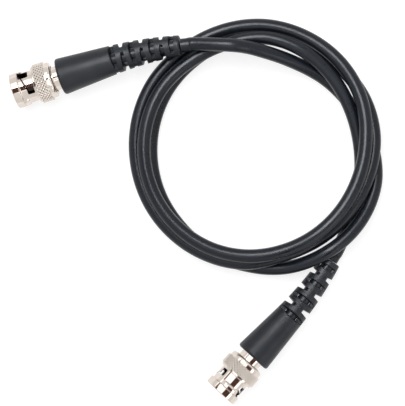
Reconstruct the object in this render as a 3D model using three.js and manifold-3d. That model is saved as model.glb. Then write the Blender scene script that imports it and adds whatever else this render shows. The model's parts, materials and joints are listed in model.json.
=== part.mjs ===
// Coaxial patch lead: 50 ohm cable with a bayonet-lock plug moulded on at each end,
// lying in a loose coil of three and a half turns.
// Units are millimetres and +Z is up. The lead lies on the plane Z = 0, and the origin
// is under the middle of the two plugs. Inside a plug, X runs along the plug's axis from
// the mouth of the coupling nut (X = 0) towards the cable.
import * as THREE from "three";
import { mergeVertices } from "three/addons/utils/BufferGeometryUtils.js";
import Module from "manifold-3d";

const wasm = await Module();
wasm.setup();

// ---------------------------------------------------------------- clearances
const GAP = 0.3; // between pieces that touch face to face
const SLIP = 0.2; // round what passes through the nut's bore

// ---------------------------------------------------------------- cable
const JACKET_D = 4.95;
const CORE_D = 2.95; // polyethylene dielectric
const CONDUCTOR_D = 0.9;
const BRAID_THICKNESS = 0.25;

// ---------------------------------------------------------------- coupling nut
const BARREL_ROOM = 0.9; // for the jack's barrel, between the fingers and the nut
const RIM_WALL = 1.55;
const RIM_LENGTH = 2.9;
const SLEEVE_WALL = 0.25; // over the lug track
const SLEEVE_LENGTH = 5.4;
const LOBE_HEIGHT = 0.6; // two low lobes stiffen the sleeve behind the rim
const LOBE_LENGTH = 1.9; // they fade out over the second half of it
const LOBE_TURN = 90;
const LOBE_EDGES = [30, 44]; // degrees from a lobe's middle at which it starts to fall and ends
const COLLAR_D = 13.4; // plain band in front of the knurl
const COLLAR_LENGTH = 0.8;
const KNURL_D = 14.6;
const KNURL_LENGTH = 4.0;
const KNURL_DEPTH = 0.35;
const KNURL_ROWS = 5;
const NUT_SIDES = 48; // even, so that the knurl closes on itself
const SKIRT_D = 13.3; // plain tail behind the knurl
const SKIRT_LENGTH = 2.2;
const TAIL_D = 11.4; // the tail rounds in to this
const EDGE = 0.3; // chamfer of the rim and the mouth
const CUT_OVER = 0.5; // how far the cutters reach past a surface
const SHOULDER_WALL = 0.6; // from the sleeve's end to the chamber
const CHAMBER_D = 11.8; // holds the flange and the washers
const LIP_BORE_D = 9.8; // rolled edge that keeps the washers in
const LIP_THICKNESS = 0.7;

// ---------------------------------------------------------------- bayonet track
const LUG_HEIGHT = 0.6; // of the jack's two lugs over its barrel
const LUG_SLOT_WIDTH = 2.3;
const LUG_SLOT_DEPTH = 4.6; // from the mouth to the middle of the ramp's start
const ENTRY_TURN = 75; // where the first entry slot is, round from the top
const RAMP_TURN = 96; // degrees from the entry slot to the detent
const RAMP_RISE = 2.05;
const WINDOW_LENGTH = 4.0;
const WINDOW_ARC = 34;
const WINDOW_TURN = 26; // from the entry slot to the middle of the window
const DETENT_LENGTH = 2.7;
const DETENT_ARC = 25;
const SLIT_WIDTH = 0.5; // along the ramp's front edge

// ---------------------------------------------------------------- body and contacts
const FINGER_D = 8.1;
const FINGER_BORE_D = 7.0;
const FINGER_SETBACK = 1.0; // behind the mouth of the nut
const FINGER_SLOTS = 4;
const FINGER_SLOT_WIDTH = 0.6;
const FINGER_SLOT_LENGTH = 5.6;
const SHANK_D = 8.8;
const SHANK_OUT = 2.2; // bare shank between the nut and the boot
const SHANK_IN = 2.6; // shank held inside the boot
const SEAT_D = 6.4; // bore that holds the insulator
const SEAT_DEPTH = 7.6; // behind the flange's front face
const BARREL_OD = 4.3; // crimp barrel
const BARREL_LENGTH = 6.0;
const RECESS_D = 4.85; // socket in the insulator's front
const RECESS_DEPTH = 5.0;
const INSULATOR_SETBACK = 3.4; // behind the mouth of the nut
const PIN_TIP_D = 1.37;
const PIN_D = 2.1;
const PIN_SETBACK = 2.0;
const PIN_SOCKET_DEPTH = 4.0;
const FERRULE_WALL = 0.4;
const FERRULE_LENGTH = 9.6;

// ---------------------------------------------------------------- washers
const GASKET_THICKNESS = 1.0;
const NUT_TRAVEL = 0.8; // the nut floats forward this far as the wave washer flattens
const WAVE_STOCK = 0.3;
const WAVE_LEFT = 0.2; // the waves don't go quite flat
const WAVE_HEIGHT = NUT_TRAVEL + WAVE_STOCK + WAVE_LEFT;
const WAVES = 3;
const THRUST_THICKNESS = 1.0;

// ---------------------------------------------------------------- boot
const BOOT_D = 13.6;
const BOOT_EDGE = 0.8;
const BOOT_LENGTH = 19.7; // solid part
const WAIST_D = 10.8; // where the solid part ends and the strain relief starts
const RELIEF_LENGTH = 26.0;
const RELIEF_END_D = 7.5;
const RELIEF_SLOTS = 7;
const SLOT_MOUTH = 2.3; // width of a slot at the relief's widest surface
const SLOT_FLOOR = 1.1; // width of a slot beside its webs
const SLOT_PITCH = 3.62;
const FIRST_SLOT = 1.4; // from the waist to the middle of the first slot
const WEB_WIDTH = 2.1;

const BOOT_SIDES = 20;
const ROUND = 16; // sides of any other turned piece

// ---------------------------------------------------------------- how it lies
// Places are measured from the middle of the coil. A plug's heading is its axis direction
// from the mouth to the cable, and tilt is the rise of that axis. The strain relief bends
// on by sweep (to the left) and lift (upwards).
// nutRoll and bootRoll turn the nut's windows and the relief's webs round the axis.
const PLUGS = [
  {
    mark: "a", mouth: [-88.2, 20.9], heading: 17.4, tilt: 3.8,
    sweep: -11.5, lift: 3.4, nutRoll: 0, bootRoll: 28,
  },
  {
    mark: "b", mouth: [-13, -89.3], heading: 47.3, tilt: -4,
    sweep: 11, lift: 1.7, nutRoll: 73, bootRoll: 4,
  },
];
// The coil runs clockwise. Each pair is the distance of the cable's middle from the coil's
// middle and its height, every COIL_STEP degrees from COIL_START.
const COIL_START = 105;
const COIL_STEP = 20;
const COIL = [
  [38.3, 15.4], [35.1, 11.8], [34.6, 7.2], [36.4, 4.0], [38.9, 2.7], [42.6, 2.6], [46.0, 4.3],
  [46.7, 7.9], [46.0, 9.7], [45.2, 5.4], [43.0, 3.3], [41.4, 2.5], [39.8, 2.5], [39.0, 2.5],
  [38.5, 2.5], [38.5, 2.5], [39.0, 2.5], [39.7, 2.5], [41.0, 2.5], [42.0, 2.5], [42.9, 2.8],
  [43.3, 4.0], [44.0, 6.0], [43.6, 8.1], [42.2, 8.9], [41.3, 8.5], [40.6, 7.6], [40.3, 8.8],
  [42.1, 8.8], [42.8, 8.0], [43.3, 6.8], [43.7, 5.5], [44.0, 4.6], [44.5, 4.3], [44.8, 4.4],
  [44.6, 5.2], [44.9, 6.5], [45.2, 7.1], [44.7, 8.1], [43.8, 9.8], [42.2, 11.2], [40.0, 12.6],
  [38.7, 13.2], [38.2, 13.4], [38.2, 13.5], [38.5, 14.1], [39.3, 13.6], [40.0, 12.8], [40.4, 11.6],
  [40.7, 10.2], [40.8, 9.2], [40.8, 8.5], [40.6, 8.1], [39.7, 8.2], [39.7, 8.7], [40.4, 9.8],
  [39.5, 10.3], [38.3, 9.2], [37.6, 8.1], [38.2, 6.0], [40.3, 3.5], [44.0, 2.5],
];
const FLOOR_GAP = 0.04; // keeps the cable's facets above the plane it lies on
const RINGS_PER_STEP = 2;
const CABLE_SIDES = 8;

// ---------------------------------------------------------------- stations along a plug
const SLEEVE_END = RIM_LENGTH + SLEEVE_LENGTH;
const KNURL_X = SLEEVE_END + COLLAR_LENGTH;
const KNURL_END = KNURL_X + KNURL_LENGTH;
const NUT_LENGTH = KNURL_END + SKIRT_LENGTH;
const SHOULDER_X = SLEEVE_END + SHOULDER_WALL;
const LIP_X = NUT_LENGTH - LIP_THICKNESS;
const FLANGE_X = SHOULDER_X + GAP;
const THRUST_X = LIP_X - GAP - THRUST_THICKNESS;
const WAVE_X = THRUST_X - GAP - WAVE_HEIGHT;
const FLANGE_END = WAVE_X - GAP;
const SEAT_END = FLANGE_X + SEAT_DEPTH;
const BOOT_X = NUT_LENGTH + SHANK_OUT;
const SHANK_END = BOOT_X + SHANK_IN;
const BARREL_END = SHANK_END + BARREL_LENGTH;
const RECESS_END = INSULATOR_SETBACK + RECESS_DEPTH;
const JACKET_X = BARREL_END + GAP;
const FERRULE_X = SHANK_END + GAP;
const FERRULE_END = FERRULE_X + FERRULE_LENGTH;
const WAIST_X = BOOT_X + BOOT_LENGTH;
const RELIEF_END = WAIST_X + RELIEF_LENGTH;

// ---------------------------------------------------------------- diameters that follow
const NUT_BORE_D = FINGER_D + 2 * BARREL_ROOM;
const RIM_D = NUT_BORE_D + 2 * RIM_WALL;
const LUG_TRACK_D = NUT_BORE_D + 2 * LUG_HEIGHT;
const SLEEVE_D = LUG_TRACK_D + 2 * SLEEVE_WALL;
const WASHER_ID = SHANK_D + 2 * GAP;
const WASHER_OD = CHAMBER_D - 2 * GAP;
const REAR_BORE_D = CORE_D + 2 * GAP;
const BRAID_ID = BARREL_OD + 2 * GAP;
const BRAID_OD = BRAID_ID + 2 * BRAID_THICKNESS;
const FERRULE_ID = BRAID_OD + 2 * GAP;
const FERRULE_OD = FERRULE_ID + 2 * FERRULE_WALL;
const CABLE_BORE_D = JACKET_D + 2 * GAP;

// ================================================================ helpers
const rad = THREE.MathUtils.degToRad;

const NICKEL = { color: 0xc9c2ba, metalness: 1, roughness: 0.22 };
const SPRING_STEEL = { color: 0x9a9a98, metalness: 1, roughness: 0.35 };
const GOLD = { color: 0xc8a24a, metalness: 1, roughness: 0.3 };
const COPPER = { color: 0xb8693a, metalness: 1, roughness: 0.4 };
const FLUOROPOLYMER = { color: 0xf0eee8, metalness: 0, roughness: 0.5 };
const RUBBER = { color: 0x8c4a3a, metalness: 0, roughness: 0.7 };
const MATT_VINYL = { color: 0x2b2d31, metalness: 0, roughness: 0.75 };
const SATIN_VINYL = { color: 0x222428, metalness: 0, roughness: 0.4 };

function piece(name, geometry, look) {
  const mesh = new THREE.Mesh(geometry, new THREE.MeshStandardMaterial(look));
  mesh.name = name;
  return mesh;
}

// A piece turned about X. The profile lists [x, radius]: the outside runs towards +X and
// the bore runs back. It starts and ends on the axis, or closes on itself.
function turned(profile, sides = ROUND) {
  const line = profile.map(([x, radius]) => new THREE.Vector2(radius, x));
  const solidCore = line[0].x === 0 && line[line.length - 1].x === 0;
  if (!solidCore) line.push(line[0].clone());
  return new THREE.LatheGeometry(line, sides).rotateZ(-Math.PI / 2);
}

function tube(from, to, innerD, outerD, sides = ROUND) {
  const inner = innerD / 2;
  const outer = outerD / 2;
  return turned([[from, outer], [to, outer], [to, inner], [from, inner]], sides);
}

function moveVertices(geometry, move) {
  const position = geometry.attributes.position;
  const point = new THREE.Vector3();
  for (let i = 0; i < position.count; i += 1) {
    point.fromBufferAttribute(position, i);
    move(point);
    position.setXYZ(i, point.x, point.y, point.z);
  }
  return geometry;
}

// A block bent round X: it spans two distances along X, two turns in degrees from +Z
// towards +Y, and two radii. It drifts along X by rise from its far turn to its near one.
function arcBlock([fromX, toX], [fromTurn, toTurn], [inner, outer], rise = 0) {
  const steps = Math.ceil((toTurn - fromTurn) / 12);
  return moveVertices(new THREE.BoxGeometry(1, 1, 1, 1, steps, 1), (p) => {
    const along = p.y + 0.5;
    const turn = rad(fromTurn + (toTurn - fromTurn) * along);
    const radius = inner + (outer - inner) * (p.z + 0.5);
    const x = fromX + (toX - fromX) * (p.x + 0.5) + rise * (1 - along);
    p.set(x, radius * Math.sin(turn), radius * Math.cos(turn));
  });
}

function toSolid(geometry) {
  const bare = geometry.clone();
  bare.deleteAttribute("normal");
  bare.deleteAttribute("uv");
  const merged = mergeVertices(bare, 1e-4);
  const corners = merged.index.array;
  const kept = [];
  for (let i = 0; i < corners.length; i += 3) {
    const [a, b, c] = [corners[i], corners[i + 1], corners[i + 2]];
    if (a !== b && b !== c && c !== a) kept.push(a, b, c);
  }
  return new wasm.Manifold(new wasm.Mesh({
    numProp: 3,
    vertProperties: new Float32Array(merged.attributes.position.array),
    triVerts: new Uint32Array(kept),
  }));
}

function cut(geometry, cutters) {
  const solid = cutters.reduce((left, cutter) => left.subtract(toSolid(cutter)), toSolid(geometry));
  const mesh = solid.getMesh();
  const result = new THREE.BufferGeometry();
  result.setAttribute("position", new THREE.BufferAttribute(mesh.vertProperties, 3));
  result.setIndex(new THREE.BufferAttribute(mesh.triVerts, 1));
  return result;
}

// A quarter round between two points of a profile, bulging outwards from the axis.
function quarter([fromX, fromR], [toX, toR], steps = 3) {
  const points = [];
  for (let i = 0; i <= steps; i += 1) {
    const angle = (i / steps) * (Math.PI / 2);
    const rising = toR > fromR;
    const x = fromX + (toX - fromX) * (rising ? 1 - Math.cos(angle) : Math.sin(angle));
    const r = fromR + (toR - fromR) * (rising ? Math.sin(angle) : 1 - Math.cos(angle));
    points.push([x, r]);
  }
  return points;
}

// ================================================================ coupling nut
function nutBlank() {
  const rim = RIM_D / 2;
  const sleeve = SLEEVE_D / 2;
  const knurl = KNURL_D / 2;
  const bore = NUT_BORE_D / 2;
  const chamber = CHAMBER_D / 2;
  const rows = [];
  for (let row = 0; row <= KNURL_ROWS; row += 1) {
    rows.push([KNURL_X + (KNURL_LENGTH * row) / KNURL_ROWS, knurl]);
  }
  const blank = turned([
    [0, rim - EDGE], [EDGE, rim], [RIM_LENGTH, rim], [RIM_LENGTH, sleeve],
    [RIM_LENGTH + LOBE_LENGTH / 2, sleeve], [RIM_LENGTH + LOBE_LENGTH, sleeve],
    [SLEEVE_END, sleeve], [SLEEVE_END, COLLAR_D / 2], [KNURL_X, COLLAR_D / 2],
    ...rows,
    [KNURL_END, SKIRT_D / 2],
    ...quarter([KNURL_END + SKIRT_LENGTH / 3, SKIRT_D / 2], [NUT_LENGTH, TAIL_D / 2]),
    [NUT_LENGTH, LIP_BORE_D / 2], [LIP_X, LIP_BORE_D / 2], [LIP_X, chamber],
    [SHOULDER_X, chamber], [SHOULDER_X, bore], [EDGE, bore], [0, bore + EDGE],
  ], NUT_SIDES);
  return moveVertices(blank, (p) => {
    const radius = Math.hypot(p.y, p.z);
    const turn = Math.atan2(p.y, p.z);
    let rise = 0;
    if (radius > knurl - 1e-3) {
      // Diamond knurl: every other point of the grid is pressed in.
      const row = Math.round(((p.x - KNURL_X) / KNURL_LENGTH) * KNURL_ROWS);
      const column = Math.round((turn / (2 * Math.PI)) * NUT_SIDES);
      if ((row + column) % 2 !== 0) rise = -KNURL_DEPTH;
    } else if (Math.abs(radius - sleeve) < 1e-3 && p.x < RIM_LENGTH + LOBE_LENGTH * 0.75) {
      // The lobes stand a half turn apart.
      const away = Math.asin(Math.abs(Math.sin(turn - rad(LOBE_TURN))));
      const [start, end] = LOBE_EDGES.map(rad);
      rise = LOBE_HEIGHT * (1 - THREE.MathUtils.smoothstep(away, start, end));
    }
    p.y *= 1 + rise / radius;
    p.z *= 1 + rise / radius;
  });
}

// One bayonet track. The lug goes in along the entry slot, follows the ramp and drops into
// the detent. Behind the rim the track breaks out as a window, and along the ramp's front
// edge as a slit.
function bayonetTrack(turn) {
  const entry = turn + ENTRY_TURN;
  const detent = entry - RAMP_TURN;
  const halfSlot = THREE.MathUtils.radToDeg(LUG_SLOT_WIDTH / LUG_TRACK_D);
  const half = LUG_SLOT_WIDTH / 2;
  const inside = NUT_BORE_D / 2 - CUT_OVER;
  const track = [inside, LUG_TRACK_D / 2];
  const through = [inside, RIM_D / 2];
  const rampFront = LUG_SLOT_DEPTH - half;
  const detentX = LUG_SLOT_DEPTH + RAMP_RISE;
  const window = entry - WINDOW_TURN;
  return [
    arcBlock([-CUT_OVER, LUG_SLOT_DEPTH + half], [entry - halfSlot, entry + halfSlot], track),
    arcBlock([rampFront, LUG_SLOT_DEPTH + half], [detent, entry], track, RAMP_RISE),
    arcBlock([rampFront, rampFront + SLIT_WIDTH], [detent, entry - WINDOW_TURN], through,
      RAMP_RISE),
    arcBlock([RIM_LENGTH, RIM_LENGTH + WINDOW_LENGTH],
      [window - WINDOW_ARC / 2, window + WINDOW_ARC / 2], through),
    arcBlock([detentX - DETENT_LENGTH / 2, detentX + DETENT_LENGTH / 2],
      [detent - DETENT_ARC / 2, detent + DETENT_ARC / 2], through),
  ];
}

function couplingNut() {
  return cut(nutBlank(), [...bayonetTrack(0), ...bayonetTrack(180)]);
}

// ================================================================ inside the nut
function plugBody() {
  const bore = REAR_BORE_D / 2;
  const blank = turned([
    [FINGER_SETBACK, FINGER_D / 2], [FLANGE_X, FINGER_D / 2], [FLANGE_X, WASHER_OD / 2],
    [FLANGE_END, WASHER_OD / 2], [FLANGE_END, SHANK_D / 2], [SHANK_END, SHANK_D / 2],
    [SHANK_END, BARREL_OD / 2], [BARREL_END, BARREL_OD / 2], [BARREL_END, bore],
    [SEAT_END, bore], [SEAT_END, SEAT_D / 2], [FLANGE_X, SEAT_D / 2],
    [FLANGE_X, FINGER_BORE_D / 2], [FINGER_SETBACK, FINGER_BORE_D / 2],
  ]);
  const slots = [];
  for (let i = 0; i < FINGER_SLOTS / 2; i += 1) {
    const slot = new THREE.BoxGeometry(2 * FINGER_SLOT_LENGTH, FINGER_SLOT_WIDTH, 2 * FINGER_D);
    slots.push(slot.translate(FINGER_SETBACK, 0, 0).rotateX((2 * Math.PI * i) / FINGER_SLOTS));
  }
  return cut(blank, slots);
}

function insulator() {
  const front = FINGER_BORE_D / 2 - GAP;
  const rear = SEAT_D / 2 - GAP;
  const socket = PIN_D / 2 + GAP;
  return turned([
    [INSULATOR_SETBACK, front], [FLANGE_X - GAP, front], [FLANGE_X - GAP, rear],
    [SEAT_END - GAP, rear], [SEAT_END - GAP, socket], [RECESS_END, socket],
    [RECESS_END, RECESS_D / 2], [INSULATOR_SETBACK, RECESS_D / 2],
  ]);
}

function centrePin() {
  const tip = PIN_TIP_D / 2;
  const shoulder = RECESS_END + GAP;
  const end = SEAT_END - GAP;
  const socket = CONDUCTOR_D / 2 + GAP;
  return turned([
    [PIN_SETBACK, 0], [PIN_SETBACK, tip / 3], [PIN_SETBACK + tip, tip], [shoulder, tip],
    [shoulder, PIN_D / 2], [end, PIN_D / 2], [end, socket],
    [end - PIN_SOCKET_DEPTH, socket], [end - PIN_SOCKET_DEPTH, 0],
  ], 12);
}

function gasket() {
  const back = FLANGE_X - GAP;
  return tube(back - GASKET_THICKNESS, back, FINGER_D + 2 * SLIP, NUT_BORE_D - 2 * SLIP);
}

function waveWasher() {
  const middle = WAVE_X + WAVE_HEIGHT / 2;
  const swing = (WAVE_HEIGHT - WAVE_STOCK) / 2;
  const half = WAVE_STOCK / 2;
  const flat = tube(middle - half, middle + half, WASHER_ID, WASHER_OD, 8 * WAVES);
  return moveVertices(flat, (p) => {
    p.x += swing * Math.cos(WAVES * Math.atan2(p.y, p.z));
  });
}

// ================================================================ cable end in the plug
// The plug's axis runs straight to the waist and then along an arc to the relief's end.
// This is the frame at a distance along it.
function axisFrame(plug, x) {
  const bend = rad(Math.hypot(plug.sweep, plug.lift));
  const side = new THREE.Vector3(0, plug.sweep, plug.lift).normalize();
  const arcRadius = RELIEF_LENGTH / bend;
  const share = THREE.MathUtils.clamp((x - WAIST_X) / RELIEF_LENGTH, 0, 1);
  const turn = share * bend;
  const forward = new THREE.Vector3(1, 0, 0);
  const hinge = forward.clone().cross(side);
  const place = new THREE.Vector3(Math.min(x, WAIST_X) + arcRadius * Math.sin(turn), 0, 0);
  place.addScaledVector(side, arcRadius * (1 - Math.cos(turn)));
  forward.applyAxisAngle(hinge, turn);
  place.addScaledVector(forward, Math.max(0, x - RELIEF_END));
  return new THREE.Matrix4().makeRotationAxis(hinge, turn).setPosition(place);
}

function bent(geometry, plug) {
  return moveVertices(geometry, (p) => {
    const frame = axisFrame(plug, p.x);
    p.x = 0;
    p.applyMatrix4(frame);
  });
}

// Profile points along the relief, about a slot pitch apart, so that it can bend.
function reliefStations() {
  const count = Math.round(RELIEF_LENGTH / SLOT_PITCH);
  return Array.from({ length: count + 1 }, (_, i) => WAIST_X + (RELIEF_LENGTH * i) / count);
}

function jacketEnd(plug) {
  const radius = JACKET_D / 2;
  const along = reliefStations().map((x) => [x, radius]);
  const profile = [[JACKET_X, 0], [JACKET_X, radius], ...along, [RELIEF_END, 0]];
  return bent(turned(profile, 12), plug);
}

// The cutter of half a slot, from a web's side outwards. Its walls open outwards with the
// draft that the mould's core needs.
function reliefSlot() {
  const depth = (WAIST_D - WEB_WIDTH) / 2;
  return moveVertices(new THREE.BoxGeometry(1, 2 * WAIST_D, 2 * depth), (p) => {
    const share = (p.z + depth) / depth;
    p.x *= SLOT_FLOOR + (SLOT_MOUTH - SLOT_FLOOR) * share;
    p.z += WEB_WIDTH / 2 + depth;
  });
}

// The moulded boot: a plain tapered grip, then a strain relief whose slots take turns
// from top and bottom to left and right and leave two webs each.
function boot(plug) {
  const nose = BOOT_D / 2;
  const waist = WAIST_D / 2;
  const tip = RELIEF_END_D / 2;
  const cable = CABLE_BORE_D / 2;
  const ferrule = FERRULE_OD / 2 + GAP;
  const shank = SHANK_D / 2 + GAP;
  const stations = reliefStations();
  const taper = (x) => waist + ((tip - waist) * (x - WAIST_X)) / RELIEF_LENGTH;
  const outside = stations.slice(0, -1).map((x) => [x, taper(x)]);
  const bore = stations.map((x) => [x, cable]).reverse();
  const endEdge = RELIEF_END - BOOT_EDGE;
  const blank = bent(turned([
    ...quarter([BOOT_X, nose - BOOT_EDGE], [BOOT_X + BOOT_EDGE, nose]),
    ...outside,
    ...quarter([endEdge, taper(endEdge)], [RELIEF_END, tip - BOOT_EDGE / 2], 2),
    ...bore,
    [FERRULE_END + GAP, cable], [FERRULE_END + GAP, ferrule], [FERRULE_X, ferrule],
    [FERRULE_X, shank], [BOOT_X, shank],
  ], BOOT_SIDES), plug);
  const slots = [];
  for (let i = 0; i < RELIEF_SLOTS; i += 1) {
    const frame = axisFrame(plug, WAIST_X + FIRST_SLOT + i * SLOT_PITCH);
    const turn = rad((i % 2) * 90 - plug.bootRoll);
    for (const half of [0, Math.PI]) {
      slots.push(reliefSlot().rotateX(turn + half).applyMatrix4(frame));
    }
  }
  return cut(blank, slots);
}

// ================================================================ a whole plug
function buildPlug(plug) {
  const socket = CONDUCTOR_D / 2 + GAP;
  const conductorX = SEAT_END - GAP - PIN_SOCKET_DEPTH + GAP;
  const pieces = {
    coupling_nut: [couplingNut(), NICKEL],
    plug_body: [plugBody(), NICKEL],
    insulator: [insulator(), FLUOROPOLYMER],
    centre_pin: [centrePin(), GOLD],
    gasket: [gasket(), RUBBER],
    wave_washer: [waveWasher(), SPRING_STEEL],
    thrust_washer: [tube(THRUST_X, THRUST_X + THRUST_THICKNESS, WASHER_ID, WASHER_OD), NICKEL],
    conductor_end: [tube(conductorX, BARREL_END, 0, CONDUCTOR_D, 8), COPPER],
    core_end: [tube(SEAT_END + GAP, BARREL_END, 2 * socket, CORE_D, 12), FLUOROPOLYMER],
    braid_end: [tube(SHANK_END + GAP, BARREL_END, BRAID_ID, BRAID_OD), COPPER],
    crimp_ferrule: [tube(FERRULE_X, FERRULE_END, FERRULE_ID, FERRULE_OD), NICKEL],
    jacket_end: [jacketEnd(plug), SATIN_VINYL],
    boot: [boot(plug), MATT_VINYL],
  };
  const group = new THREE.Group();
  for (const [name, [geometry, look]] of Object.entries(pieces)) {
    group.add(piece(`${name}_${plug.mark}`, geometry, look));
  }
  group.children[0].rotation.x = -rad(plug.nutRoll);
  // The nut rests on one edge of its knurl.
  const tilt = rad(plug.tilt);
  const edge = plug.tilt > 0 ? KNURL_X : KNURL_END;
  const height = (KNURL_D / 2) * Math.cos(tilt) - edge * Math.sin(tilt);
  group.position.set(...plug.mouth, height);
  group.rotation.set(0, -tilt, rad(plug.heading), "ZYX");
  group.updateMatrixWorld(true);
  return group;
}

// ================================================================ free cable
// The cable leaves a strain relief square to it and straight for one diameter.
function exitPoints(plug, group) {
  return [GAP, GAP + JACKET_D / 2, GAP + JACKET_D].map((beyond) => {
    const frame = axisFrame(plug, RELIEF_END + beyond).premultiply(group.matrixWorld);
    return new THREE.Vector3().setFromMatrixPosition(frame);
  });
}

function coilPoints() {
  const knots = COIL.map(([radius, height], i) => new THREE.Vector3(i, radius, height));
  const wound = new THREE.CatmullRomCurve3(knots, false, "catmullrom");
  const count = (COIL.length - 1) * RINGS_PER_STEP;
  const points = [];
  for (let i = 0; i <= count; i += 1) {
    const knot = wound.getPoint(i / count);
    const turn = rad(COIL_START - knot.x * COIL_STEP);
    const height = Math.max(knot.z, JACKET_D / 2 + FLOOR_GAP);
    points.push(new THREE.Vector3(knot.y * Math.cos(turn), knot.y * Math.sin(turn), height));
  }
  return points;
}

// The least distance between two stretches of the cable that aren't neighbours.
function leastGap(points) {
  const step = points[0].distanceTo(points[1]);
  const apart = Math.ceil((4 * JACKET_D) / step);
  let least = Infinity;
  for (let i = 0; i < points.length; i += 1) {
    for (let j = i + apart; j < points.length; j += 1) {
      least = Math.min(least, points[i].distanceTo(points[j]));
    }
  }
  return least - JACKET_D;
}

function freeCable(start, end) {
  const route = new THREE.CatmullRomCurve3([...start, ...coilPoints(), ...end.reverse()]);
  const section = new THREE.Shape();
  for (let i = 0; i < CABLE_SIDES; i += 1) {
    const turn = ((i + 0.5) / CABLE_SIDES) * 2 * Math.PI;
    const corner = [(JACKET_D / 2) * Math.cos(turn), (JACKET_D / 2) * Math.sin(turn)];
    if (i === 0) section.moveTo(...corner);
    else section.lineTo(...corner);
  }
  route.arcLengthDivisions = 2000;
  const steps = route.points.length;
  const gap = leastGap(route.getSpacedPoints(6 * steps));
  console.log(`cable length ${route.getLength().toFixed(1)} mm, least gap ${gap.toFixed(2)} mm`);
  return new THREE.ExtrudeGeometry(section, { steps, extrudePath: route, bevelEnabled: false });
}

// ================================================================ the lead
const plugs = new THREE.Group();
const exits = PLUGS.map((plug) => {
  const group = buildPlug(plug);
  plugs.add(group);
  return exitPoints(plug, group);
});
const lead = new THREE.Group();
lead.add(plugs, piece("coax_cable", freeCable(...exits), SATIN_VINYL));

const box = new THREE.Box3().setFromObject(plugs, true);
const middle = box.getCenter(new THREE.Vector3());
lead.position.set(-middle.x, -middle.y, -box.min.z);

export default lead;
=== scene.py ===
# A coaxial patch lead: 5 mm cable lying in nearly three and a half loose turns, with a
# bayonet-lock plug at each end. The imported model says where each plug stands. Sizes of
# the lead are in millimetres, and those of the studio and the finishes in metres.
import json
import math

import bmesh
import bpy
from mathutils import Matrix, Vector


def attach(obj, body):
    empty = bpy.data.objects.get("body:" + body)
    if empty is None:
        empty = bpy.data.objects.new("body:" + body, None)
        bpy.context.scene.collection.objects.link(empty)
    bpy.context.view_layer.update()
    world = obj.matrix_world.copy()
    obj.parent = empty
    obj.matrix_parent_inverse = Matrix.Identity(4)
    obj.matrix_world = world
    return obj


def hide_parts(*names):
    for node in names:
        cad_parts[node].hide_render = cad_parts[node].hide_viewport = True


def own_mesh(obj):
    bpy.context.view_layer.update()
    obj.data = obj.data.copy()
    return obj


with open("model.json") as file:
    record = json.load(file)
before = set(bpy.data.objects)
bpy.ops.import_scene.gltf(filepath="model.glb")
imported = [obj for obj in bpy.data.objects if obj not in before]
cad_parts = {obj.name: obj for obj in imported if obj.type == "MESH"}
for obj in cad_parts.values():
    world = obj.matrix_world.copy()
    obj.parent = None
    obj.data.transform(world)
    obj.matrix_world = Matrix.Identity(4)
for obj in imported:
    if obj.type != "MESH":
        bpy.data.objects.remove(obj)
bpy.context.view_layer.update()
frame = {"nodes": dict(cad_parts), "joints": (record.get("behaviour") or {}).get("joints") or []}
scene = bpy.context.scene
MM = 0.001

# The camera hangs half a metre above the bench, close to the lead's middle, and looks
# straight down, so that the coil and both plugs fill the view.
camera = bpy.data.objects.new("camera", bpy.data.cameras.new("camera"))
scene.collection.objects.link(camera)
VIEW_MIDDLE = (10.25 * MM, 6.35 * MM)
VIEW_HEIGHT = 507 * MM
# The view has its width at this level above the bench.
VIEW_WIDTH, VIEW_LEVEL = 148.8 * MM, 7 * MM
SENSOR_WIDTH = 36
camera.data.sensor_width = SENSOR_WIDTH
camera.data.lens = SENSOR_WIDTH * (VIEW_HEIGHT - VIEW_LEVEL) / VIEW_WIDTH
camera.data.clip_start = 0.01
camera.location = (*VIEW_MIDDLE, VIEW_HEIGHT)
scene.camera = camera
scene.view_settings.view_transform = "Standard"

# Each plug stands on its own axis, which runs from the mouth of its coupling nut towards
# the cable. The axis is straight to the boot's waist, and then bends with the relief.
PLUGS = {
    # degrees: the relief's bend sideways and upwards, and how far nut and boot are turned
    "a": {"sweep": -11.5, "lift": 3.4, "nut_roll": 0, "boot_roll": 28},
    "b": {"sweep": 11, "lift": 1.7, "nut_roll": 73, "boot_roll": 4},
}
# Distances from the mouth: the nut's joint, the boot's front, its waist and the relief's end.
# The free cable begins a small gap beyond that.
NUT_PIVOT = 6.0
BOOT_X = 17.5
WAIST_X = 37.2
RELIEF_END = 63.2
GAP = 0.3

for mark, plug in PLUGS.items():
    turn = next(j for j in frame["joints"] if j["name"] == f"nut_turn_{mark}")
    axis = -Vector(turn["axis"]).normalized()
    left = Vector((0, 0, 1)).cross(axis).normalized()
    stand = Matrix((axis, left, axis.cross(left))).transposed().to_4x4()
    stand.translation = Vector(turn["pos_m"]) - axis * NUT_PIVOT * MM
    plug["stand"] = stand @ Matrix.Scale(MM, 4)


def along_plug(plug, x):
    """The frame at x millimetres from the mouth, with the relief's bend in it."""
    bend = math.radians(math.hypot(plug["sweep"], plug["lift"]))
    side = Vector((0, plug["sweep"], plug["lift"])).normalized()
    hinge = Vector((1, 0, 0)).cross(side)
    radius = (RELIEF_END - WAIST_X) / bend
    turn = bend * min(max((x - WAIST_X) / (RELIEF_END - WAIST_X), 0), 1)
    spin = Matrix.Rotation(turn, 4, hinge)
    place = Vector((min(x, WAIST_X) + radius * math.sin(turn), 0, 0))
    place += side * radius * (1 - math.cos(turn))
    place += spin @ Vector((max(0, x - RELIEF_END), 0, 0))
    return Matrix.Translation(place) @ spin


# The cable is 50 ohm coaxial cable with a satin black vinyl jacket, extruded over its
# braid. It leaves one relief, lies in nearly three and a half loose turns that cross over
# each other, and goes into the other relief.
JACKET_D = 4.95
BENCH_GAP = 0.04
COIL_MIDDLE = Vector((29.632, 26.307, 0))
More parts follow.
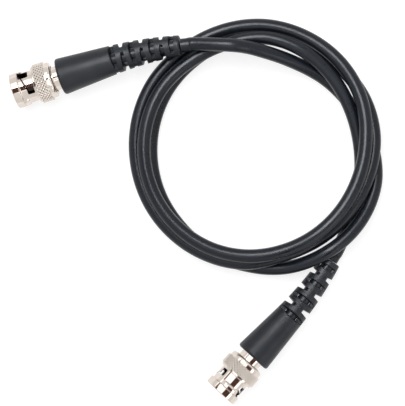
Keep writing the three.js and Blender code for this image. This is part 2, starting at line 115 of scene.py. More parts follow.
# Degrees round the middle: where the turns start, and the step from each pair to the next.
COIL_START = 105
COIL_STEP = 20
POINTS_A_STEP = 2
COIL = [
    # distance from the coil's middle, height
    (38.3, 15.4), (35.1, 11.8), (34.6, 7.2), (36.4, 4.0), (38.9, 2.7), (42.6, 2.6),
    (46.0, 4.3), (46.7, 7.9), (46.0, 9.7), (45.2, 5.4), (43.0, 3.3), (41.4, 2.5),
    (39.8, 2.5), (39.0, 2.5), (38.5, 2.5), (38.5, 2.5), (39.0, 2.5), (39.7, 2.5),
    (41.0, 2.5), (42.0, 2.5), (42.9, 2.8), (43.3, 4.0), (44.0, 6.0), (43.6, 8.1),
    (42.2, 8.9), (41.3, 8.5), (40.6, 7.6), (40.3, 8.8), (42.1, 8.8), (42.8, 8.0),
    (43.3, 6.8), (43.7, 5.5), (44.0, 4.6), (44.5, 4.3), (44.8, 4.4), (44.6, 5.2),
    (44.9, 6.5), (45.2, 7.1), (44.7, 8.1), (43.8, 9.8), (42.2, 11.2), (40.0, 12.6),
    (38.7, 13.2), (38.2, 13.4), (38.2, 13.5), (38.5, 14.1), (39.3, 13.6), (40.0, 12.8),
    (40.4, 11.6), (40.7, 10.2), (40.8, 9.2), (40.8, 8.5), (40.6, 8.1), (39.7, 8.2),
    (39.7, 8.7), (40.4, 9.8), (39.5, 10.3), (38.3, 9.2), (37.6, 8.1), (38.2, 6.0),
    (40.3, 3.5), (44.0, 2.5),
]


def relief_exit(plug):
    """Three points from the relief's end, square to it and straight for one diameter."""
    beyond = (GAP, GAP + JACKET_D / 2, GAP + JACKET_D)
    return [plug["stand"] @ along_plug(plug, RELIEF_END + b).translation for b in beyond]


def eased(before, a, b, after, t):
    """A point on the smooth line through four neighbours, at t between a and b."""
    slope_a, slope_b = (b - before) / 2, (after - a) / 2
    return (
        (2 * t**3 - 3 * t**2 + 1) * a + (t**3 - 2 * t**2 + t) * slope_a
        + (3 * t**2 - 2 * t**3) * b + (t**3 - t**2) * slope_b
    )


knots = [Vector(pair) for pair in COIL]
knots = [2 * knots[0] - knots[1], *knots, 2 * knots[-1] - knots[-2]]
route = relief_exit(PLUGS["a"])
for i in range(POINTS_A_STEP * (len(COIL) - 1) + 1):
    knot = min(i // POINTS_A_STEP, len(COIL) - 2)
    distance, height = eased(*knots[knot:knot + 4], i / POINTS_A_STEP - knot)
    way = math.radians(COIL_START - COIL_STEP * i / POINTS_A_STEP)
    height = max(height, JACKET_D / 2 + BENCH_GAP)
    spot = Vector((distance * math.cos(way), distance * math.sin(way), height))
    route.append((COIL_MIDDLE + spot) * MM)
route += reversed(relief_exit(PLUGS["b"]))

# The curve's bevel is one metre, and each point's radius scales it down to the cable's.
line = bpy.data.curves.new("cable", "CURVE")
line.dimensions = "3D"
line.resolution_u = 6
line.bevel_depth = 1
line.bevel_resolution = 7
line.use_fill_caps = True
spline = line.splines.new("BEZIER")
spline.bezier_points.add(len(route) - 1)
for i, (point, spot) in enumerate(zip(spline.bezier_points, route)):
    # Handles a sixth of the way between a point's neighbours make the line smooth.
    lean = (route[min(i + 1, len(route) - 1)] - route[max(i - 1, 0)]) / 6
    point.handle_left_type = point.handle_right_type = "FREE"
    point.co, point.handle_left, point.handle_right = spot, spot - lean, spot + lean
    point.radius = JACKET_D / 2 * MM
cable = bpy.data.objects.new("cable", line)
scene.collection.objects.link(cable)
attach(cable, "lead")
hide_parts("coax_cable")


def shader_of(finish):
    """The main shader of a material."""
    return finish.node_tree.nodes["Principled BSDF"]


def new_finish(name, colour, roughness, metal=0.0):
    """A new material of one colour and one roughness."""
    finish = bpy.data.materials.new(name)
    finish.use_nodes = True
    shader = shader_of(finish)
    shader.inputs["Base Color"].default_value = (*colour, 1)
    shader.inputs["Roughness"].default_value = roughness
    shader.inputs["Metallic"].default_value = metal
    return finish


def add_noise(finish, scale, detail=4, stretch=(1, 1, 1)):
    """A noise output over the piece. Scale is the number of its grains in a metre."""
    tree = finish.node_tree
    where = tree.nodes.new("ShaderNodeTexCoord")
    spread = tree.nodes.new("ShaderNodeMapping")
    spread.inputs["Scale"].default_value = stretch
    noise = tree.nodes.new("ShaderNodeTexNoise")
    noise.inputs["Scale"].default_value = scale
    noise.inputs["Detail"].default_value = detail
    tree.links.new(where.outputs["Object"], spread.inputs["Vector"])
    tree.links.new(spread.outputs["Vector"], noise.inputs["Vector"])
    return noise.outputs["Fac"]


# The values of a noise that count as its low and its high end, for numbers and for tones.
NOISE_LOW, NOISE_HIGH = 0.3, 0.7
TINT_LOW, TINT_HIGH = 0.35, 0.65


def vary(finish, noise, socket, low, high):
    """Lets a number of the shader run from low to high with the noise."""
    tree = finish.node_tree
    span = tree.nodes.new("ShaderNodeMapRange")
    span.inputs["From Min"].default_value = NOISE_LOW
    span.inputs["From Max"].default_value = NOISE_HIGH
    span.inputs["To Min"].default_value = low
    span.inputs["To Max"].default_value = high
    tree.links.new(noise, span.inputs["Value"])
    tree.links.new(span.outputs["Result"], shader_of(finish).inputs[socket])


def tint(finish, noise, dark, light):
    """Lets the colour run between two tones with the noise."""
    tree = finish.node_tree
    ramp = tree.nodes.new("ShaderNodeValToRGB")
    first, last = ramp.color_ramp.elements
    first.position, first.color = TINT_LOW, (*dark, 1)
    last.position, last.color = TINT_HIGH, (*light, 1)
    tree.links.new(noise, ramp.inputs["Fac"])
    tree.links.new(ramp.outputs["Color"], shader_of(finish).inputs["Base Color"])


def emboss(finish, noise, height, under=None):
    """Raises the surface by the noise, height in metres, on top of another bump if any."""
    tree = finish.node_tree
    bump = tree.nodes.new("ShaderNodeBump")
    bump.inputs["Strength"].default_value = 1
    bump.inputs["Distance"].default_value = height
    tree.links.new(noise, bump.inputs["Height"])
    if under:
        tree.links.new(under, bump.inputs["Normal"])
    tree.links.new(bump.outputs["Normal"], shader_of(finish).inputs["Normal"])
    return bump.outputs["Normal"]


# The jacket is satin: extruded smooth, with a faint orange peel and dull handling marks.
satin_vinyl = new_finish("satin black vinyl", (0.008, 0.010, 0.015), 0.3)
shader_of(satin_vinyl).inputs["Specular IOR Level"].default_value = 0.28
vary(satin_vinyl, add_noise(satin_vinyl, 140), "Roughness", 0.25, 0.33)
tint(satin_vinyl, add_noise(satin_vinyl, 60), (0.0065, 0.0085, 0.013), (0.0095, 0.012, 0.0175))
peel = emboss(satin_vinyl, add_noise(satin_vinyl, 900, 3), 0.00002)
emboss(satin_vinyl, add_noise(satin_vinyl, 5200, 2), 0.000006, peel)
line.materials.append(satin_vinyl)


# The coupling nut locks the plug on its jack. It is turned from brass bar, knurled for the
# fingers, pierced for the two bayonet tracks and plated with bright nickel.
# Two low lobes behind the rim stiffen it over the tracks' entries.
NUT_PROFILE = [
    # distance from the mouth, radius, rounding of the corner
    (0, 6.5, 0.3), (2.9, 6.5, 0.3), (2.9, 5.8, 0.1), (3.3, 5.8, 0), (3.7, 5.8, 0),
    (4.1, 5.8, 0), (4.5, 5.8, 0), (4.9, 5.8, 0), (8.3, 5.8, 0.1), (8.3, 6.7, 0.2),
    (9.1, 6.7, 0),
]
KNURL_X, KNURL_END, KNURL_RADIUS = 9.1, 13.1, 7.3
# The pits' depth, and how low the knurl lies between a pit and a crown.
KNURL_DEPTH, KNURL_SHOULDER = 0.4, 0.12
KNURL_COLUMNS, KNURL_ROWS = 66, 6
NUT_REST = [
    # the same, from the knurl's end over the rear lip and back through the bore
    (13.1, 6.65, 0), (15.3, 6.65, 1.0), (15.3, 4.9, 0.1), (14.6, 4.9, 0.05),
    (14.6, 5.9, 0.1), (8.9, 5.9, 0.1), (8.9, 4.95, 0.05), (0, 4.95, 0.3),
]


# Degrees between two rings of a block, and how near two points are made one.
ARC_STEP = 5
TURNED_MERGE, CUT_MERGE = 1e-4, 1e-3
# How near counts as lying on a radius or at a distance, and how near for a pit's floor.
NEAR, PIT_NEAR = 0.01, 0.03
# Angles between two faces, in radians, from which an edge counts as an opening's corner or
# as the rim of a cut, and the one in degrees from which it looks sharp.
CORNER_ANGLE, RIM_ANGLE = 1, 0.5
CREASE_ANGLE = 35


def turned(profile, steps):
    """A profile of distance, radius and corner rounding, spun once round the axis."""
    part = bmesh.new()
    chain = [part.verts.new((x, 0, radius)) for x, radius, rounding in profile]
    for a, b in zip(chain, chain[1:]):
        part.edges.new((a, b))
    if profile[0][1] > 0:
        part.edges.new((chain[-1], chain[0]))
    for size in sorted({rounding for x, radius, rounding in profile if rounding}):
        corners = [v for v, at in zip(chain, profile) if at[2] == size]
        bmesh.ops.bevel(part, geom=corners, offset=size, offset_type="OFFSET", segments=3,
                        profile=0.5, affect="VERTICES", material=-1)
    bmesh.ops.spin(part, geom=part.verts[:] + part.edges[:], cent=(0, 0, 0),
                   axis=(1, 0, 0), angle=2 * math.pi, steps=steps, use_merge=True)
    bmesh.ops.remove_doubles(part, verts=part.verts[:], dist=TURNED_MERGE)
    bmesh.ops.recalc_face_normals(part, faces=part.faces[:])
    return part


def bent_block(along, arc, radii, rise=0.0, rounding=0.0):
    """A block swept round the axis over an arc, drifting towards the mouth by rise."""
    block = bmesh.new()
    near, far = (math.radians(t) for t in arc)
    steps = max(2, math.ceil((arc[1] - arc[0]) / ARC_STEP))
    corners = [(along[0], radii[0]), (along[1], radii[0]), (along[1], radii[1]),
               (along[0], radii[1])]
    block.faces.new([block.verts.new((x + rise, r * math.sin(near), r * math.cos(near)))
                     for x, r in corners])
    bmesh.ops.spin(block, geom=block.verts[:] + block.edges[:] + block.faces[:],
                   cent=(0, 0, 0), axis=(-1, 0, 0), dvec=(-rise / steps, 0, 0),
                   angle=far - near, steps=steps)
    bmesh.ops.recalc_face_normals(block, faces=block.faces[:])
    if rounding:
        # The corners of the opening are the edges that run straight in from the outside.
        sides = [e for e in block.edges if len({round(v.co.x, 4) for v in e.verts}) == 1
                 and abs(e.calc_length() - abs(radii[1] - radii[0])) < 1e-3
                 and abs(e.calc_face_angle(0)) > CORNER_ANGLE]
        bmesh.ops.bevel(block, geom=sides, offset=rounding, offset_type="OFFSET",
                        segments=5, profile=0.5, affect="EDGES", material=-1)
    return block


def cut(part, cutters, edge=0.0):
    """Takes the cutters out of a part and rounds the edges that this leaves."""
    blanks = []
    for shape in (part, *cutters):
        mesh = bpy.data.meshes.new("blank")
        if shape is not part:
            # Faces from a cutter are marked, so that their edges can be found again.
            for face in shape.faces:
                face.material_index = 1
        shape.to_mesh(mesh)
        shape.free()
        mesh.materials.append(None)
        mesh.materials.append(None)
        blank = bpy.data.objects.new("blank", mesh)
        scene.collection.objects.link(blank)
        blanks.append(blank)
    for tool in blanks[1:]:
        step = blanks[0].modifiers.new("cut", "BOOLEAN")
        step.operation, step.solver, step.object = "DIFFERENCE", "EXACT", tool
    bpy.context.view_layer.update()
    done = bmesh.new()
    done.from_object(blanks[0], bpy.context.evaluated_depsgraph_get())
    for blank in blanks:
        mesh = blank.data
        bpy.data.objects.remove(blank)
        bpy.data.meshes.remove(mesh)
    bmesh.ops.remove_doubles(done, verts=done.verts[:], dist=CUT_MERGE)
    if edge:
        rims = [e for e in done.edges if len(e.link_faces) == 2
                and len({f.material_index for f in e.link_faces}) == 2
                and e.calc_face_angle(0) > RIM_ANGLE]
        bmesh.ops.bevel(done, geom=rims, offset=edge, offset_type="OFFSET", segments=2,
                        profile=0.5, affect="EDGES", clamp_overlap=True, material=-1)
    for face in done.faces:
        face.material_index = 0
    return done


def fit(name, part, place, body, node, finish):
    """Puts a copy of a part in its place as a finished piece that stands for a node."""
    mesh = bpy.data.meshes.new(name)
    part.to_mesh(mesh)
    mesh.transform(place)
    mesh.shade_smooth()
    mesh.set_sharp_from_angle(angle=math.radians(CREASE_ANGLE))
    mesh.materials.append(finish)
    piece = bpy.data.objects.new(name, mesh)
    scene.collection.objects.link(piece)
    piece.modifiers.new("even gloss", "WEIGHTED_NORMAL").keep_sharp = True
    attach(piece, body)
    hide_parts(node)
    return piece


nickel = new_finish("bright nickel", (0.69, 0.62, 0.56), 0.1, 1.0)
tint(nickel, add_noise(nickel, 500), (0.66, 0.59, 0.53), (0.72, 0.65, 0.59))
vary(nickel, add_noise(nickel, 900), "Roughness", 0.06, 0.11)
emboss(nickel, add_noise(nickel, 2600, 3), 0.000004)
# Painted shade: a dark colour stands for the shade in the knurl's pits, inside the nut and
# on the fingers under it. Points in it carry a painted shade mark of 1, and the dark colour
# comes in between the two shares of that mark.
PAINTED_SHADE_COLOUR, PAINTED_SHADE_STARTS, PAINTED_SHADE_FULL = (0.035, 0.028, 0.025, 1), 0.12, 0.36
plating = nickel.node_tree
mark_value = plating.nodes.new("ShaderNodeAttribute")
mark_value.attribute_name = "painted_shade_mark"
painted_shade = plating.nodes.new("ShaderNodeMix")
painted_shade.data_type = "RGBA"
painted_shade.inputs["B"].default_value = PAINTED_SHADE_COLOUR
bare_metal = shader_of(nickel).inputs["Base Color"].links[0].from_socket
plating.links.new(bare_metal, painted_shade.inputs["A"])
painted_shade_edge = plating.nodes.new("ShaderNodeMapRange")
painted_shade_edge.inputs["From Min"].default_value = PAINTED_SHADE_STARTS
painted_shade_edge.inputs["From Max"].default_value = PAINTED_SHADE_FULL
plating.links.new(mark_value.outputs["Fac"], painted_shade_edge.inputs["Value"])
plating.links.new(painted_shade_edge.outputs["Result"], painted_shade.inputs["Factor"])
plating.links.new(painted_shade.outputs["Result"], shader_of(nickel).inputs["Base Color"])

# The lobes: which points behind the rim they move, the sine from which they rise and the
# span of it that they rise over, their height, and where and how fast they fade out.
NECK_RADII, LOBE_REACH = (5.7, 6), (2.85, 4.8)
LOBE_EDGE, LOBE_BLEND, LOBE_HEIGHT = 0.72, 0.16, 0.6
LOBE_END, LOBE_FADE = 4.9, 0.8
rows = [(KNURL_X + (KNURL_END - KNURL_X) * i / (2 * KNURL_ROWS), KNURL_RADIUS, 0)
        for i in range(2 * KNURL_ROWS + 1)]
nut = turned(NUT_PROFILE + rows + NUT_REST, 2 * KNURL_COLUMNS)
for v in nut.verts:
    radius = math.hypot(v.co.y, v.co.z)
    turn = math.atan2(v.co.y, v.co.z)
    if radius > KNURL_RADIUS - NEAR:
        # Every other crossing in every other row is a pit, and all the rest are crowns.
        row = round((v.co.x - KNURL_X) / (KNURL_END - KNURL_X) * 2 * KNURL_ROWS)
        column = round(turn / math.pi * KNURL_COLUMNS)
        if (row + column) % 2:
            sink = KNURL_SHOULDER
        else:
            sink = KNURL_DEPTH if row % 2 == 0 and (row + column) % 4 else 0
        v.co.y *= 1 - sink / radius
        v.co.z *= 1 - sink / radius
    elif (NECK_RADII[0] < radius < NECK_RADII[1]
          and LOBE_REACH[0] < v.co.x < LOBE_REACH[1]):
        # The lobes' middles are at 90 and 270 degrees, and they fade out backwards.
        over = min(max((abs(math.sin(turn)) - LOBE_EDGE) / LOBE_BLEND, 0), 1)
        back = min(max((LOBE_END - v.co.x) / LOBE_FADE, 0), 1)
        swell = 1 + LOBE_HEIGHT / radius * over * over * (3 - 2 * over) * back * (2 - back)
        v.co.y *= swell
        v.co.z *= swell
# Each face of the knurl is split between two opposite corners of the same height, and
# between the higher two if both pairs are level, so that crowns and pits stay crisp.
pit_radius = KNURL_RADIUS - KNURL_DEPTH
knurl_quads = [f for f in nut.faces if len(f.verts) == 4
               and all(KNURL_X - NEAR < v.co.x < KNURL_END + NEAR
                       and v.co.yz.length > pit_radius - 0.1 for v in f.verts)]
for face in knurl_quads:
    corners = sorted(zip(face.verts[:2], face.verts[2:]), reverse=True,
                     key=lambda pair: pair[0].co.yz.length + pair[1].co.yz.length)
    level = [pair for pair in corners
             if abs(pair[0].co.yz.length - pair[1].co.yz.length) < NEAR]
    if level:
        bmesh.utils.face_split(face, *level[0])

# Degrees round the nut: where a track's entry, window and detent lie, and half of the
# window's and the detent's width. A track runs back by its rise from entry to detent.
ENTRY, WINDOW, DETENT = 75, 49, -21
HALF_WINDOW, HALF_DETENT = 17, 12.5
ENTRY_WIDTH, TRACK_RISE = 2.3, 2.05
TRACK_INSIDE, TRACK_RADIUS, BEYOND_NECK = 4.45, 5.55, 7.2
half_entry = math.degrees(ENTRY_WIDTH / (2 * TRACK_RADIUS))
blind, through = (TRACK_INSIDE, TRACK_RADIUS), (TRACK_INSIDE, BEYOND_NECK)
cutters = []
for side in (0, 180):
    entry, window, detent = side + ENTRY, side + WINDOW, side + DETENT
    cutters += [
        bent_block((-0.5, 5.75), (entry - half_entry, entry + half_entry), blind),
        bent_block((3.45, 5.75), (detent, entry), blind, TRACK_RISE),
        bent_block((3.45, 3.95), (detent, window), through, TRACK_RISE),
        bent_block((3.0, 6.9), (window - HALF_WINDOW, window + HALF_WINDOW), through,
                   rounding=0.9),
        bent_block((5.3, 8.0), (detent - HALF_DETENT, detent + HALF_DETENT), through,
                   rounding=0.5),
    ]
nut = cut(nut, cutters)
# The painted shade inside the nut begins behind the rounding of the mouth and ends with the
# bore.
INSIDE_RADIUS, PAINTED_SHADE_REACH = 5.7, (0.5, 8.95)
# Points in the knurl's pits and inside the nut are marked for painted shade.
painted_shade_mark = nut.verts.layers.float.new("painted_shade_mark")
for v in nut.verts:
    radius = math.hypot(v.co.y, v.co.z)
    pit = (abs(radius - KNURL_RADIUS + KNURL_DEPTH) < PIT_NEAR
           and v.co.x > KNURL_X - NEAR)
    inside = radius < INSIDE_RADIUS and PAINTED_SHADE_REACH[0] < v.co.x < PAINTED_SHADE_REACH[1]
    if pit or inside:
        v[painted_shade_mark] = 1
for mark, plug in PLUGS.items():
    roll = Matrix.Rotation(-math.radians(plug["nut_roll"]), 4, "X")
    fit(f"nut_{mark}", nut, plug["stand"] @ roll, f"nut_{mark}", f"coupling_nut_{mark}",
        nickel)
nut.free()


# The plug body is turned from brass and nickel plated. Its front is slit into four spring
# fingers that press out on the jack's barrel, and the boot is moulded round its shank.
SLIT_SIZE = (11.2, 0.6, 16.2)
# The painted shade on the fingers' outside, under the nut: where it ends, and from what radius.
FINGERS_END, FINGERS_OUTSIDE = 9.3, 3.9
body_blank = turned([
    (1, 4.05, 0.15), (9.2, 4.05, 0), (9.2, 5.6, 0.15), (11.4, 5.6, 0.15), (11.4, 4.4, 0.1),
    (20.1, 4.4, 0.2), (20.1, 2.15, 0), (26.1, 2.15, 0.1), (26.1, 1.875, 0), (16.8, 1.875, 0),
    (16.8, 3.2, 0), (9.2, 3.2, 0), (9.2, 3.5, 0), (1, 3.5, 0.15),
], 72)
slits = []
for side in (0, 90):
    slit = bmesh.new()
    size = Matrix.Diagonal((*SLIT_SIZE, 1))
    turn = Matrix.Rotation(math.radians(side), 4, "X")
    bmesh.ops.create_cube(slit, size=1, matrix=Matrix.Translation((1, 0, 0)) @ turn @ size)
    slits.append(slit)
body_part = cut(body_blank, slits, edge=0.05)
# Points on the fingers' outside under the nut are marked for painted shade.
painted_shade_mark = body_part.verts.layers.float.new("painted_shade_mark")
for v in body_part.verts:
    if v.co.x < FINGERS_END and math.hypot(v.co.y, v.co.z) > FINGERS_OUTSIDE:
        v[painted_shade_mark] = 1
for mark, plug in PLUGS.items():
    fit(f"body_{mark}", body_part, plug["stand"], "lead", f"plug_body_{mark}",
        nickel)
body_part.free()


# The insulator is machined from fluoropolymer rod. The contact pin inside it is turned from
# brass and gold plated, and is crimped on the cable's conductor.
fluoropolymer = new_finish("fluoropolymer", (0.82, 0.81, 0.77), 0.42)
shader_of(fluoropolymer).inputs["Subsurface Weight"].default_value = 0.1
vary(fluoropolymer, add_noise(fluoropolymer, 700), "Roughness", 0.36, 0.5)
emboss(fluoropolymer, add_noise(fluoropolymer, 2400, 3, (6, 1, 1)), 0.00001)
gold = new_finish("hard gold", (0.83, 0.60, 0.24), 0.18, 1.0)
vary(gold, add_noise(gold, 1200), "Roughness", 0.12, 0.26)
insulator = turned([
    (3.4, 3.2, 0.1), (8.9, 3.2, 0.1), (8.9, 2.9, 0), (16.5, 2.9, 0.1), (16.5, 1.35, 0),
    (8.4, 1.35, 0), (8.4, 2.425, 0), (3.4, 2.425, 0.1),
], 64)
pin = turned([
    (2, 0, 0), (2, 0.23, 0.1), (3.37, 0.685, 0.3), (8.7, 0.685, 0), (8.7, 1.05, 0.1),
    (16.5, 1.05, 0.1), (16.5, 0.75, 0), (12.5, 0.75, 0), (12.5, 0, 0),
], 40)
for mark, plug in PLUGS.items():
    fit(f"insulation_{mark}", insulator, plug["stand"], "lead", f"insulator_{mark}",
        fluoropolymer)
    fit(f"pin_{mark}", pin, plug["stand"], "lead", f"centre_pin_{mark}", gold)
insulator.free()
pin.free()


# A silicone gasket seals the jack's barrel. Behind the body's flange a three-wave washer,
# stamped from spring steel, presses a plain washer back on the nut's rear lip, and so
# pulls the plug home.
silicone = new_finish("silicone rubber", (0.30, 0.10, 0.05), 0.55)
vary(silicone, add_noise(silicone, 1500), "Roughness", 0.48, 0.66)
emboss(silicone, add_noise(silicone, 4200, 3), 0.00001)
spring_steel = new_finish("spring steel", (0.45, 0.45, 0.46), 0.28, 1.0)
vary(spring_steel, add_noise(spring_steel, 1500, 4, (1, 6, 6)), "Roughness", 0.2, 0.4)
WAVES, WAVE_HEIGHT, WAVE_FRONT = 3, 0.5, 11.7


def ring(x, radii, rounding, steps):
    """A ring between two distances and two radii, with all four corners rounded."""
    return turned([(x[0], radii[0], rounding), (x[1], radii[0], rounding),
                   (x[1], radii[1], rounding), (x[0], radii[1], rounding)], steps)


gasket = ring((7.9, 8.9), (4.25, 4.75), 0.12, 64)
wave = ring((12.2, 12.5), (4.7, 5.6), 0.04, 96)
for v in wave.verts:
    v.co.x += WAVE_HEIGHT * math.cos(WAVES * math.atan2(v.co.y, v.co.z))
washer = ring((13.3, 14.3), (4.7, 5.6), 0.1, 72)
for mark, plug in PLUGS.items():
    fit(f"seal_{mark}", gasket, plug["stand"], "lead", f"gasket_{mark}",
        silicone)
    fit(f"washer_{mark}", washer, plug["stand"], f"washer_{mark}",
        f"thrust_washer_{mark}", nickel)
    spring = fit(f"wave_spring_{mark}", wave, plug["stand"], "lead", f"wave_washer_{mark}",
                 spring_steel)
    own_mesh(spring)
for part in (gasket, wave, washer):
    part.free()


# The cable's end is stripped in steps inside the shank: bare copper conductor, white
# dielectric and bare copper braid, which a plated ferrule crimps down under the boot.
copper = new_finish("bare copper", (0.80, 0.45, 0.33), 0.3, 1.0)
vary(copper, add_noise(copper, 1800, 4, (1, 5, 5)), "Roughness", 0.22, 0.42)
tint(copper, add_noise(copper, 400), (0.72, 0.36, 0.26), (0.86, 0.52, 0.40))
for mark in PLUGS:
    for kind, finish in (("conductor_end", copper), ("core_end", fluoropolymer),
                         ("braid_end", copper), ("crimp_ferrule", nickel)):
        node = frame["nodes"][f"{kind}_{mark}"]
        node.data.materials.clear()
        node.data.materials.append(finish)


# The last stretch of the cable's vinyl jacket runs through the boot, which is moulded round
# it, and shows in the relief's slots. It bends with the relief.
def bend_along(part, plug):
    """Bends a part that was made on a straight axis along the plug's own axis."""
    for v in part.verts:
        frame_there = along_plug(plug, v.co.x)
        v.co = frame_there @ Vector((0, v.co.y, v.co.z))


JACKET_START, JACKET_RINGS = 26.4, 40
jacket_step = (RELIEF_END - JACKET_START) / JACKET_RINGS
jacket_side = [(JACKET_START + jacket_step * i, JACKET_D / 2, 0)
               for i in range(JACKET_RINGS)]
for mark, plug in PLUGS.items():
    jacket = turned([(JACKET_START, 0, 0), *jacket_side, (RELIEF_END, JACKET_D / 2, 0),
                     (RELIEF_END, 0, 0)], 40)
    bend_along(jacket, plug)
    fit(f"jacket_{mark}", jacket, plug["stand"], "lead", f"jacket_end_{mark}",
        satin_vinyl)
    jacket.free()


# The boot is moulded on in matt black vinyl over the shank and the ferrule. Its grip is a
# plain taper. The slots of the relief cross over each other, with a web left on either
# side of each, and their walls open outwards with the draft of the mould.
FRONT_RADIUS, WAIST_RADIUS, TIP_RADIUS = 6.8, 5.4, 3.75
SHANK_BORE, FERRULE_BORE, CABLE_BORE = 4.7, 3.65, 2.775
SHANK_BORE_END, FERRULE_BORE_END = 20.4, 30.3
SLOTS, SLOT_PITCH, FIRST_SLOT = 7, 3.62, 1.4
WEB_WIDTH, SLOT_FLOOR, SLOT_MOUTH = 2.1, 1.1, 2.3
RELIEF_RINGS = 36

boot_profile = [(BOOT_X, SHANK_BORE, 0.1), (BOOT_X, FRONT_RADIUS, 0.9)]
for i in range(RELIEF_RINGS):
    x = WAIST_X + (RELIEF_END - WAIST_X) * i / RELIEF_RINGS
    radius = WAIST_RADIUS + (TIP_RADIUS - WAIST_RADIUS) * i / RELIEF_RINGS
    boot_profile.append((x, radius, 0))
boot_profile += [(RELIEF_END, TIP_RADIUS, 0.45), (RELIEF_END, CABLE_BORE, 0.1)]
for i in range(1, RELIEF_RINGS + 1):
    x = RELIEF_END - (RELIEF_END - FERRULE_BORE_END) * i / RELIEF_RINGS
    boot_profile.append((x, CABLE_BORE, 0))
boot_profile += [(FERRULE_BORE_END, FERRULE_BORE, 0), (SHANK_BORE_END, FERRULE_BORE, 0),
                 (SHANK_BORE_END, SHANK_BORE, 0)]

boot = turned(boot_profile, 72)
# A cutter stands on the web and is twice as tall as the slot is deep, so that it widens
# from the floor's width to the mouth's half way up.
slots = bmesh.new()
depth = (2 * WAIST_RADIUS - WEB_WIDTH) / 2
for i in range(SLOTS):
    for half in (0, 180):
        made = bmesh.ops.create_cube(slots, size=1)["verts"]
        for v in made:
            share = 2 * (v.co.z + 0.5)
            v.co.x *= SLOT_FLOOR + (SLOT_MOUTH - SLOT_FLOOR) * share
            v.co.y *= 4 * WAIST_RADIUS
            v.co.z = (v.co.z + 0.5) * 2 * depth + WEB_WIDTH / 2
        place = Matrix.Translation((WAIST_X + FIRST_SLOT + i * SLOT_PITCH, 0, 0))
        turn = Matrix.Rotation(math.radians(90 * (i % 2) + half), 4, "X")
        bmesh.ops.transform(slots, matrix=place @ turn, verts=made)
boot = cut(boot, [slots], edge=0.22)

matt_vinyl = new_finish("matt black vinyl", (0.013, 0.015, 0.019), 0.42)
shader_of(matt_vinyl).inputs["Specular IOR Level"].default_value = 0.3
tint(matt_vinyl, add_noise(matt_vinyl, 90), (0.0105, 0.012, 0.0155), (0.0165, 0.019, 0.024))
vary(matt_vinyl, add_noise(matt_vinyl, 260), "Roughness", 0.36, 0.48)
grain = emboss(matt_vinyl, add_noise(matt_vinyl, 1500, 3), 0.00003)
emboss(matt_vinyl, add_noise(matt_vinyl, 4200, 2), 0.00002, grain)
for mark, plug in PLUGS.items():
    bent_boot = boot.copy()
    roll = Matrix.Rotation(-math.radians(plug["boot_roll"]), 4, "X")
    bmesh.ops.transform(bent_boot, matrix=roll, verts=bent_boot.verts[:])
    bend_along(bent_boot, plug)
    fit(f"boot_and_relief_{mark}", bent_boot, plug["stand"], "lead", f"boot_{mark}",
        matt_vinyl)
    bent_boot.free()
boot.free()


# The studio: a white bench under a white dome, and two soft lamps. Gloss doesn't show the
# lamps. It shows flat panels instead: one by each lamp, and over each nut a dark one
# beside a lit one, whose edges draw the stripes along the polished metal.
BENCH_SIZE, BENCH_GLOW = 1.5, 0.8
LAMP_ABOVE, LAMP_FRONT = (-0.145, 0.266, 0.70), (0.25, -0.50, 0.42)
PANEL_FRONT = (0.36, -0.42, 0.42)
NUT_PANEL_HEIGHT = 0.15
DARK_GLOW, DARK_COLOUR = 0.1, (1, 0.5, 0.4)
LIT_GLOW, LIT_COLOUR = 1.8, (1, 1, 1)
NUT_PANELS = (
    # plug, reach along its axis, and to the left of it the dark and the lit panel's reach
    ("a", (-0.070, 0.014), (-0.044, 0.038), (0.040, 0.170)),
    ("b", (-0.025, 0.055), (-0.150, -0.016), (-0.014, 0.136)),
)
# How bright the dome is as a light, and how bright gloss shows it.
DOME_LIGHT, DOME_IN_GLOSS = 0.35, 0.95

bench = bmesh.new()
bmesh.ops.create_grid(bench, x_segments=1, y_segments=1, size=BENCH_SIZE)
bench_mesh = bpy.data.meshes.new("bench")
bench.to_mesh(bench_mesh)
bench.free()
bench_top = bpy.data.objects.new("bench", bench_mesh)
scene.collection.objects.link(bench_top)
white = new_finish("white bench", (0.3, 0.3, 0.3), 0.9)
bench_mesh.materials.append(white)
# The bench glows for the camera and for gloss alone.
bench_tree = white.node_tree
bench_ray = bench_tree.nodes.new("ShaderNodeLightPath")
seen = bench_tree.nodes.new("ShaderNodeMath")
seen.operation = "MAXIMUM"
bench_tree.links.new(bench_ray.outputs["Is Camera Ray"], seen.inputs[0])
bench_tree.links.new(bench_ray.outputs["Is Glossy Ray"], seen.inputs[1])
bench_glow = bench_tree.nodes.new("ShaderNodeMath")
bench_glow.operation = "MULTIPLY"
bench_glow.inputs[1].default_value = BENCH_GLOW
bench_tree.links.new(seen.outputs[0], bench_glow.inputs[0])
bench_tree.links.new(bench_glow.outputs[0], shader_of(white).inputs["Emission Strength"])
shader_of(white).inputs["Emission Color"].default_value = (1, 1, 1, 1)


def softbox(name, spot, size, power):
    """A soft lamp that faces the lead and that gloss doesn't show."""
    lamp = bpy.data.lights.new(name, "AREA")
    lamp.shape = "RECTANGLE"
    lamp.size, lamp.size_y = size
    lamp.energy = power
    body = bpy.data.objects.new(name, lamp)
    scene.collection.objects.link(body)
    body.location = spot
    body.rotation_euler = (-Vector(spot)).to_track_quat("-Z", "Y").to_euler()
    body.visible_glossy = False


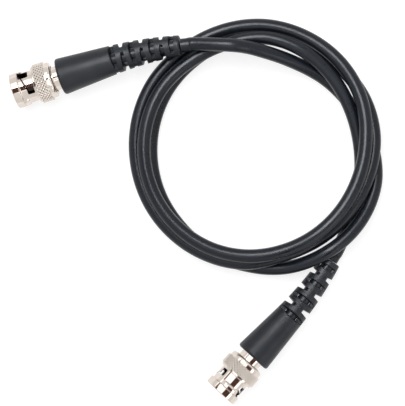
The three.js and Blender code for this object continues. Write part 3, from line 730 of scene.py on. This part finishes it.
def panel(name, middle, across, along, glow, colour=(1, 1, 1)):
    """A flat panel that only gloss shows. It reaches across and along to both sides."""
    sheet = bmesh.new()
    sheet.faces.new([sheet.verts.new(middle + across * a + along * b)
                     for a, b in ((-1, -1), (1, -1), (1, 1), (-1, 1))])
    mesh = bpy.data.meshes.new(name)
    sheet.to_mesh(mesh)
    sheet.free()
    board = bpy.data.objects.new(name, mesh)
    scene.collection.objects.link(board)
    board.visible_camera = board.visible_diffuse = board.visible_shadow = False
    board.visible_transmission = False
    finish = new_finish(name, (0, 0, 0), 1.0)
    finish.cycles.emission_sampling = "NONE"
    shader = shader_of(finish)
    shader.inputs["Specular IOR Level"].default_value = 0
    shader.inputs["Emission Color"].default_value = (*colour, 1)
    shader.inputs["Emission Strength"].default_value = glow
    mesh.materials.append(finish)


softbox("softbox_above", LAMP_ABOVE, size=(0.5, 0.5), power=4.6)
softbox("softbox_front", LAMP_FRONT, size=(0.6, 0.3), power=0.8)
panel("panel_above", Vector(LAMP_ABOVE), across=Vector((0.19, 0, 0.04)),
      along=Vector((0, 0.19, -0.06)), glow=14)
panel("panel_front", Vector(PANEL_FRONT), across=Vector((0.15, 0.15, 0)),
      along=Vector((-0.08, 0.08, 0.10)), glow=3)
for mark, ends, dark_side, lit_side in NUT_PANELS:
    stand = PLUGS[mark]["stand"]
    axis = stand.col[0].xyz.normalized()
    left = Vector((0, 0, 1)).cross(axis).normalized()
    for kind, (start, end), glow, colour in (("dark", dark_side, DARK_GLOW, DARK_COLOUR),
                                             ("lit", lit_side, LIT_GLOW, LIT_COLOUR)):
        middle = stand.translation + axis * sum(ends) / 2 + left * (start + end) / 2
        middle.z = NUT_PANEL_HEIGHT
        panel(f"{kind}_panel_{mark}", middle, left * (end - start) / 2,
              axis * (ends[1] - ends[0]) / 2, glow, colour)

world = bpy.data.worlds.new("studio")
scene.world = world
world.use_nodes = True
sky = world.node_tree
sky.nodes["Background"].inputs["Color"].default_value = (1, 1, 1, 1)
sky_ray = sky.nodes.new("ShaderNodeLightPath")
strength = sky.nodes.new("ShaderNodeMapRange")
strength.inputs["To Min"].default_value = DOME_LIGHT
strength.inputs["To Max"].default_value = DOME_IN_GLOSS
sky.links.new(sky_ray.outputs["Is Glossy Ray"], strength.inputs["Value"])
sky.links.new(strength.outputs["Result"], sky.nodes["Background"].inputs["Strength"])

bpy.context.view_layer.update()
